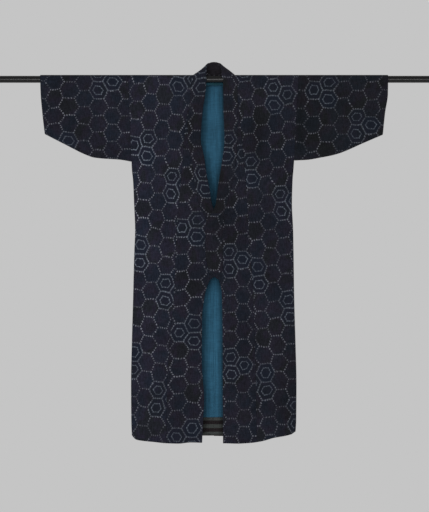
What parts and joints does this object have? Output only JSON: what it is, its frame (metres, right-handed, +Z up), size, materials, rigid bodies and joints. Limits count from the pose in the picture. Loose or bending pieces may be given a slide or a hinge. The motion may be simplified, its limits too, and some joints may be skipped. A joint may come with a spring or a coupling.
{
  "type": "kimono on a hanging rod",
  "caption": "Lined kimono with boat-bottomed sleeves and a long band collar, hung flat on a rod that runs through the sleeves.",
  "frame": {"origin": "middle of the rod's axis, in the middle of the neck opening", "axes": "+Z up, the front faces -Y, +X to the right of someone who looks at the front and along the rod"},
  "size_m": [1.56, 0.0468, 1.3155],
  "materials": {
    "cloth": "matte woven cotton, near-black indigo",
    "lining": "matte woven cotton, blue",
    "facing": "matte woven cotton, dark with pale stripes",
    "rod_finish": "satin black"
  },
  "bodies": {
    "root": {"rod": "rod_finish", "collar": "cloth", "body_left": "cloth", "body_right": "cloth", "sleeve_left": "cloth", "sleeve_right": "cloth", "overlap_panel_left": "cloth", "overlap_panel_right": "cloth", "back_lining_left": "lining", "back_lining_right": "lining", "hem_facing_left": "facing", "hem_facing_right": "facing"}
  },
  "joints": []
}
